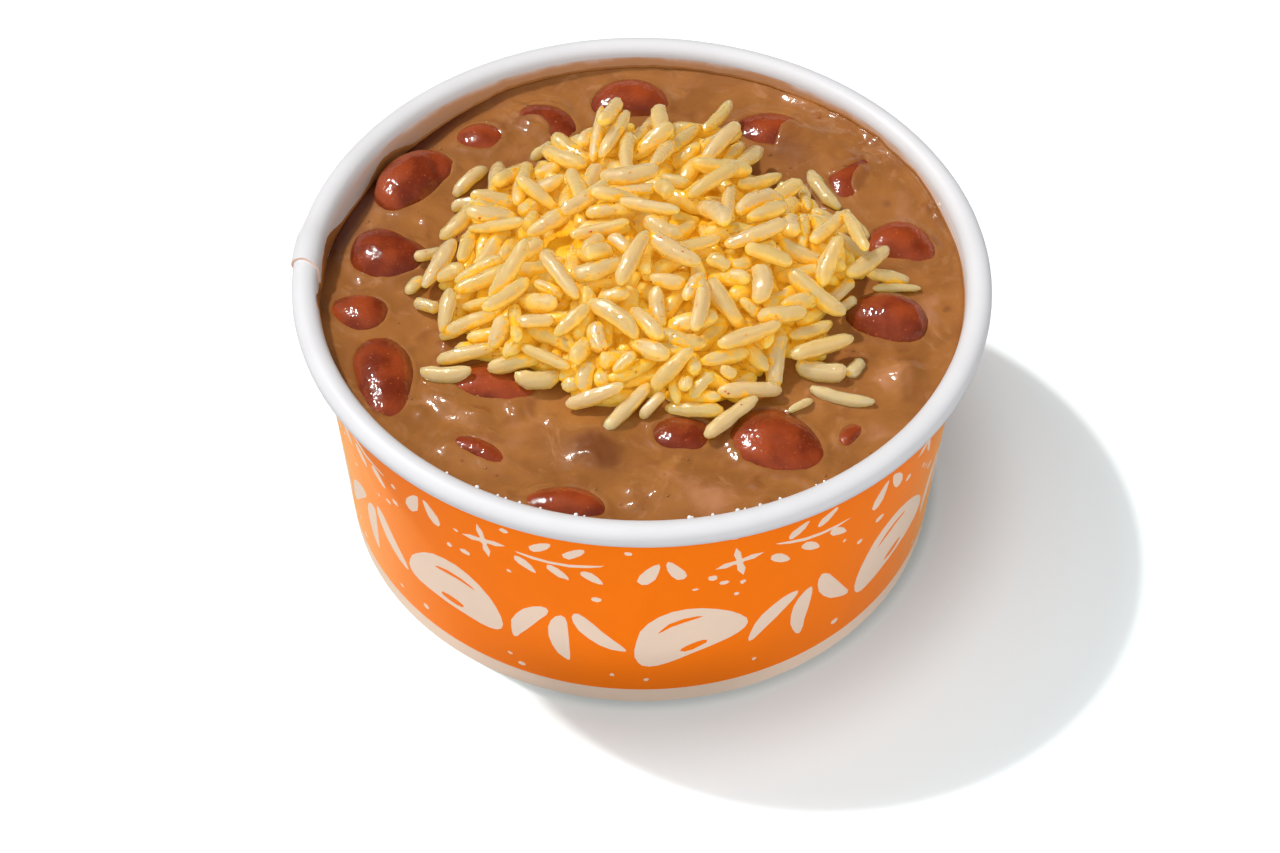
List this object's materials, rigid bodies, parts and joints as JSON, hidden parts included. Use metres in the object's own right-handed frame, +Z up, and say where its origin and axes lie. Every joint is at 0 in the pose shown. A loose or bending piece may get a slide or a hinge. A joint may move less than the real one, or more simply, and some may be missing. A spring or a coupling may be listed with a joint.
{
  "type": "red beans and rice",
  "caption": "Squat round paper bowl with a rolled rim, filled with thick bean gravy, whole red beans half sunk in it and a heap of long rice on the middle.",
  "frame": {"origin": "centre of the bowl's foot ring, on the surface that it stands on", "axes": "+Z up through the bowl's middle; +Y away from the side shown in front, +X to its right"},
  "size_m": [0.0983, 0.0978, 0.0523],
  "materials": {
    "printed_board": "coated paperboard printed orange, satin, with a white rolled rim and foot band",
    "bare_board": "coated white paperboard, satin",
    "bean_gravy": "thick wet brown gravy, glossy, slightly lumpy",
    "red_bean": "wet cooked bean skin, dark red brown, glossy",
    "cooked_rice": "moist cooked grain, pale cream with yellow seasoning, translucent"
  },
  "bodies": {
    "root": {"bowl_wall": "printed_board", "bowl_bottom": "bare_board", "gravy": "bean_gravy", "bean_01": "red_bean", "bean_02": "red_bean", "bean_03": "red_bean", "bean_04": "red_bean", "bean_05": "red_bean", "bean_06": "red_bean", "bean_07": "red_bean", "bean_08": "red_bean", "bean_09": "red_bean", "bean_10": "red_bean", "bean_11": "red_bean", "bean_12": "red_bean", "bean_13": "red_bean", "bean_14": "red_bean", "bean_15": "red_bean", "bean_16": "red_bean", "bean_17": "red_bean", "rice_heap": "cooked_rice"}
  },
  "joints": []
}
